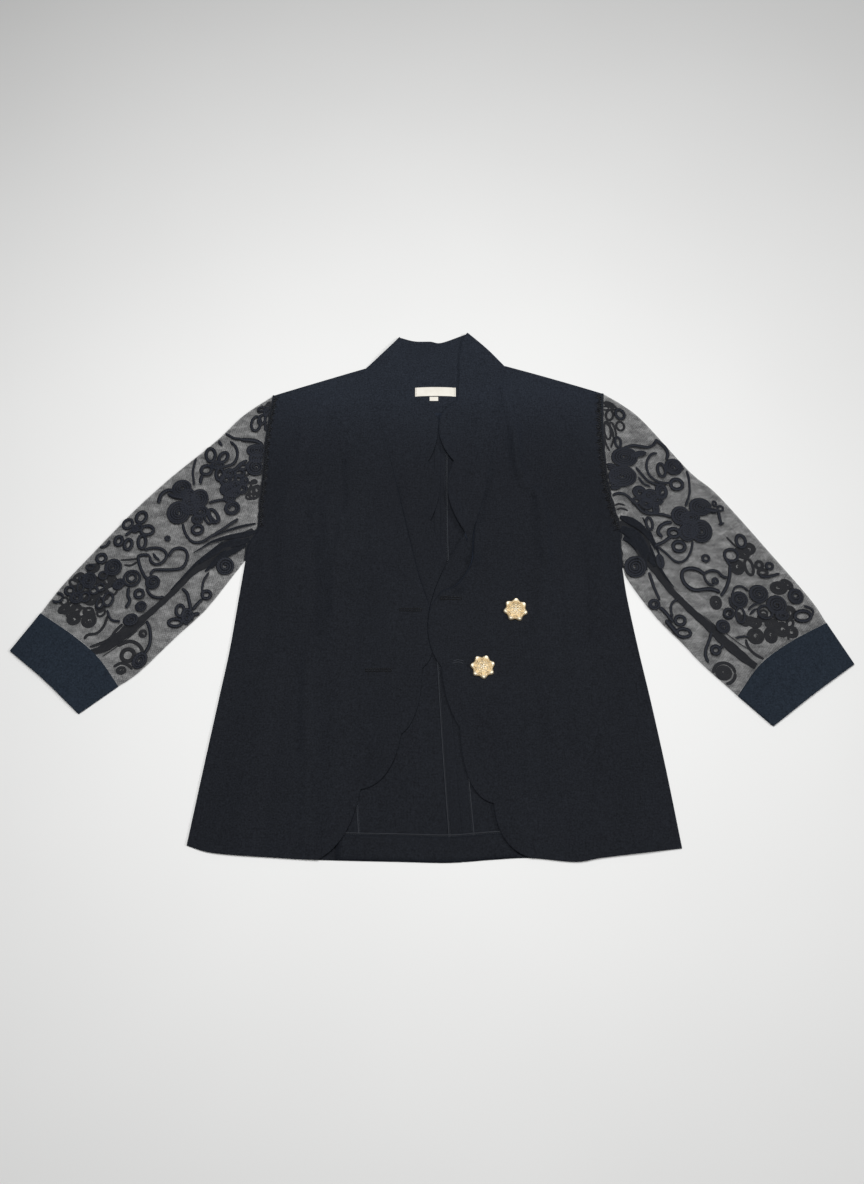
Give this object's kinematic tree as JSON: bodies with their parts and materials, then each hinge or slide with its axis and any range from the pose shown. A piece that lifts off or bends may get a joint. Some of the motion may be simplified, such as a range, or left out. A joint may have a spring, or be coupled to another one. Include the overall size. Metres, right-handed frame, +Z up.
{
  "type": "blazer",
  "caption": "Light blazer laid flat, front up: scalloped fronts and shawl collar, embroidered net sleeves, plain turned cuffs and flower-shaped metal buttons.",
  "frame": {"origin": "on the floor under the middle of the laid garment's outline", "axes": "+X across the garment towards the wearer's left sleeve, +Y from hem to collar, +Z up from the floor through the fronts"},
  "size_m": [0.97, 0.668, 0.0101],
  "materials": {
    "suiting": "fine plain weave, matt, blue-black",
    "net": "sheer fine net with cord embroidery, black",
    "cuff_cloth": "fine plain weave, matt, blue-black, slightly lighter than the body",
    "button_metal": "cast, polished, gold-coloured",
    "label_tape": "woven satin tape, cream, bare"
  },
  "bodies": {
    "root": {"back_right": "suiting", "back_left": "suiting", "front_right": "suiting", "front_left": "suiting", "collar": "suiting", "sleeve_right": "net", "sleeve_left": "net", "cuff_right": "cuff_cloth", "cuff_left": "cuff_cloth", "button_upper": "button_metal", "button_lower": "button_metal", "neck_label": "label_tape", "size_tab": "label_tape"}
  },
  "joints": []
}
